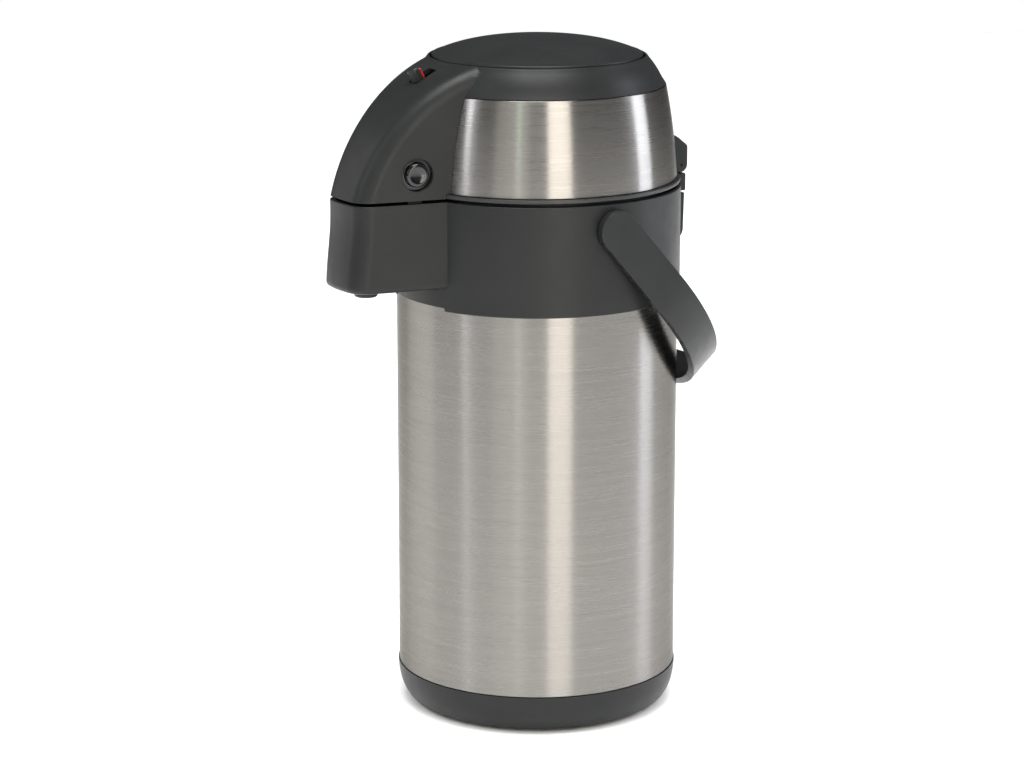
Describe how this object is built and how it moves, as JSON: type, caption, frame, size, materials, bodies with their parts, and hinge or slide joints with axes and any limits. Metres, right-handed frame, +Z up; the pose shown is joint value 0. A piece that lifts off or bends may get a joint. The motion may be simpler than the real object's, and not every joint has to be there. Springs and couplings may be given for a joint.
{
  "type": "thermal airpot",
  "caption": "Tall insulated beverage dispenser with a push-pump lid, a hooded pouring spout, a hinged lid with side releases and a swinging carry handle.",
  "frame": {"origin": "centre of the flat underside of the anti-slip pad, on the pot's upright axis", "axes": "+Z up the pot's axis, -Y out over the spout, +Y to the lid hinge, +X to the right for someone who looks from the spout towards the hinge"},
  "size_m": [0.171, 0.2252, 0.38],
  "materials": {
    "brushed_shell_steel": "satin, fine grain round the body",
    "flask_steel": "drawn stainless, satin",
    "fastener_steel": "bright zinc",
    "charcoal_plastic": "moulded, satin",
    "inner_plastic": "moulded, matt",
    "gloss_black_plastic": "polished",
    "red_plastic": "moulded",
    "seal_rubber": "matt silicone"
  },
  "bodies": {
    "pot": {"base_cap": "charcoal_plastic", "glide_ring": "inner_plastic", "outer_shell": "brushed_shell_steel", "flask_support": "seal_rubber", "flask_jacket": "flask_steel", "flask_liner": "flask_steel", "flask_neck": "flask_steel", "mouth_gasket": "seal_rubber", "mouth_ring": "inner_plastic", "dip_tube": "flask_steel", "outlet_elbow": "inner_plastic", "spout_pipe": "inner_plastic", "spout_nozzle": "charcoal_plastic", "collar": "charcoal_plastic", "hinge_bracket": "charcoal_plastic", "bracket_screw_left": "fastener_steel", "bracket_screw_right": "fastener_steel", "hinge_cover": "charcoal_plastic", "latch_strike_left": "fastener_steel", "latch_strike_right": "fastener_steel"},
    "swivel_base": {"turntable": "inner_plastic", "anti_slip_pad": "seal_rubber", "swivel_washer": "fastener_steel", "swivel_screw": "fastener_steel"},
    "lid": {"lid_housing": "charcoal_plastic", "lid_band": "brushed_shell_steel", "lid_base": "inner_plastic", "lid_gasket": "seal_rubber", "air_check_valve": "seal_rubber", "lid_screw_1": "fastener_steel", "lid_screw_2": "fastener_steel", "lid_screw_3": "fastener_steel", "lid_screw_4": "fastener_steel", "lid_hinge_lug": "charcoal_plastic", "hinge_pin": "fastener_steel", "bellows": "seal_rubber", "bellows_spring": "fastener_steel", "latch_spring": "fastener_steel"},
    "press": {"press_disc": "charcoal_plastic", "bellows_plate": "inner_plastic", "air_valve_seal": "seal_rubber"},
    "lock": {"lock_slider": "charcoal_plastic", "lock_indicator": "red_plastic"},
    "left_button": {"release_button_left": "gloss_black_plastic", "latch_pawl_left": "inner_plastic"},
    "right_button": {"release_button_right": "gloss_black_plastic", "latch_pawl_right": "inner_plastic"},
    "handle": {"handle": "charcoal_plastic", "handle_stud_left": "fastener_steel", "handle_stud_right": "fastener_steel", "handle_retainer_left": "fastener_steel", "handle_retainer_right": "fastener_steel"}
  },
  "joints": [
    {"name": "base_swivel", "type": "hinge", "parent": "pot", "child": "swivel_base", "pos_m": [0, 0, 0.003], "axis": [0, 0, 1], "continuous": true},
    {"name": "lid_hinge", "type": "hinge", "parent": "pot", "child": "lid", "pos_m": [0, 0.0858, 0.3028], "axis": [-1, 0, 0], "range_deg": [0, 95]},
    {"name": "pump_press", "type": "slide", "parent": "lid", "child": "press", "axis": [0, 0, -1], "range_m": [0, 0.032], "stiffness_N_per_m": 400, "springref_m": -0.02, "deforming": ["bellows", "bellows_spring"]},
    {"name": "lock_slide", "type": "slide", "parent": "lid", "child": "lock", "axis": [0, 0.887, 0.4617], "range_m": [0, 0.007]},
    {"name": "release_left", "type": "slide", "parent": "lid", "child": "left_button", "axis": [0.9819, 0.1895, 0], "range_m": [0, 0.003], "stiffness_N_per_m": 800, "springref_m": -0.002, "deforming": ["latch_spring"]},
    {"name": "release_right", "type": "slide", "parent": "lid", "child": "right_button", "axis": [-0.9819, 0.1895, 0], "range_m": [0, 0.003], "stiffness_N_per_m": 800, "springref_m": -0.002, "deforming": ["latch_spring"]},
    {"name": "handle_swing", "type": "hinge", "parent": "pot", "child": "handle", "pos_m": [0, 0, 0.284], "axis": [1, 0, 0], "range_deg": [0, 225]}
  ]
}
